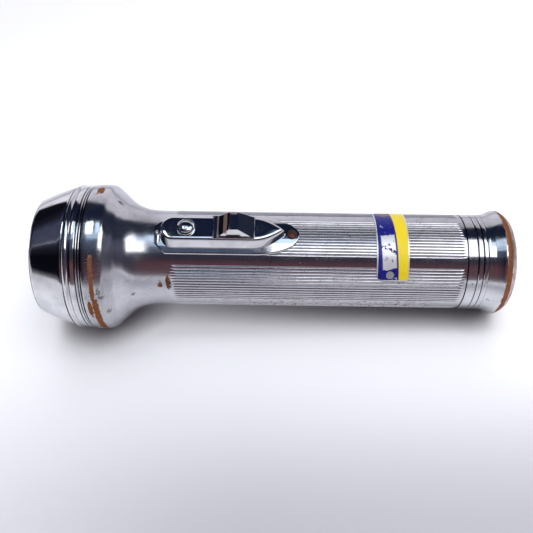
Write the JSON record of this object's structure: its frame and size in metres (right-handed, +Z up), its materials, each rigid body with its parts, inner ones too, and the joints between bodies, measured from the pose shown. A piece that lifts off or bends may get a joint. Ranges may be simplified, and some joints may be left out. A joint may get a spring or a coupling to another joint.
{
  "type": "flashlight",
  "caption": "Plated hand torch lying on its side: flared head with lens, fluted barrel, slide switch with flash button, foil label and screw-on tail cap.",
  "frame": {"origin": "centre of the footprint's bounding box, on the surface that the torch lies on", "axes": "+Z up; the torch lies along X with its head at -X, its axis 2.98 degrees nose up because head and tail both touch the surface; the switch faces up and 18 degrees towards -Y"},
  "size_m": [0.1812, 0.0566, 0.0566],
  "materials": {
    "chrome_plate": "polished",
    "rivet_copper": "matte",
    "lens_glass": "polished",
    "bulb_glass": "polished",
    "reflector_silver": "polished",
    "gasket_rubber": "matte",
    "contact_brass": "satin",
    "insulating_fibre": "matte",
    "bulb_black_glass": "gloss",
    "cell_pitch": "satin",
    "solder": "satin",
    "lamp_wire": "satin",
    "spring_steel": "satin",
    "cell_zinc": "satin",
    "cell_mix": "matte",
    "cell_card": "matte",
    "label_foil": "satin"
  },
  "bodies": {
    "case": {"barrel": "chrome_plate", "switch_plate": "chrome_plate", "switch_housing": "chrome_plate", "button_collar": "chrome_plate", "front_tab": "chrome_plate", "rear_rivet": "rivet_copper", "contact_strip": "contact_brass", "strip_insulator": "insulating_fibre", "label": "label_foil", "front_cell_can": "cell_zinc", "front_cell_core": "cell_mix", "front_cell_seal": "cell_pitch", "front_cell_jacket": "cell_card", "front_cell_cap": "contact_brass", "rear_cell_can": "cell_zinc", "rear_cell_core": "cell_mix", "rear_cell_seal": "cell_pitch", "rear_cell_jacket": "cell_card", "rear_cell_cap": "contact_brass"},
    "thumb": {"switch_thumb": "chrome_plate", "slide_contact": "contact_brass"},
    "button": {"flash_button": "chrome_plate"},
    "lamp": {"lens": "lens_glass", "lens_gasket": "gasket_rubber", "reflector": "reflector_silver", "bulb_retainer": "chrome_plate", "bulb_glass": "bulb_glass", "bulb_filament": "lamp_wire", "bulb_base": "contact_brass", "bulb_insulator": "bulb_black_glass", "bulb_contact": "solder"},
    "ring": {"lens_ring": "chrome_plate"},
    "spring": {"tail_spring": "spring_steel", "spring_disc": "contact_brass"},
    "cap": {"tail_cap": "chrome_plate"}
  },
  "joints": [
    {"name": "thumb_slide", "type": "slide", "parent": "case", "child": "thumb", "axis": [-0.9987, 0, 0.0519], "range_m": [0, 0.0055]},
    {"name": "button_press", "type": "slide", "parent": "case", "child": "button", "axis": [-0.0494, 0.309, -0.9498], "range_m": [0, 0.0009], "stiffness_N_per_m": 400, "springref_m": -0.001},
    {"name": "lamp_advance", "type": "slide", "parent": "case", "child": "lamp", "axis": [-0.9987, 0, 0.0519], "range_m": [0, 0.007]},
    {"name": "lens_ring_turn", "type": "hinge", "parent": "lamp", "child": "ring", "pos_m": [0.00014, 0, 0.02474], "axis": [-0.9987, 0, 0.0519], "range_deg": [0, 1260]},
    {"name": "spring_advance", "type": "slide", "parent": "case", "child": "spring", "axis": [0.9987, 0, -0.0519], "range_m": [0, 0.008]},
    {"name": "tail_cap_turn", "type": "hinge", "parent": "spring", "child": "cap", "pos_m": [0.00014, 0, 0.02474], "axis": [0.9987, 0, -0.0519], "range_deg": [0, 1440]}
  ],
  "couplings": [
    {"joint": "lamp_advance", "follows": "lens_ring_turn", "m_per_rad": 0.00031831},
    {"joint": "spring_advance", "follows": "tail_cap_turn", "m_per_rad": 0.00031831}
  ]
}
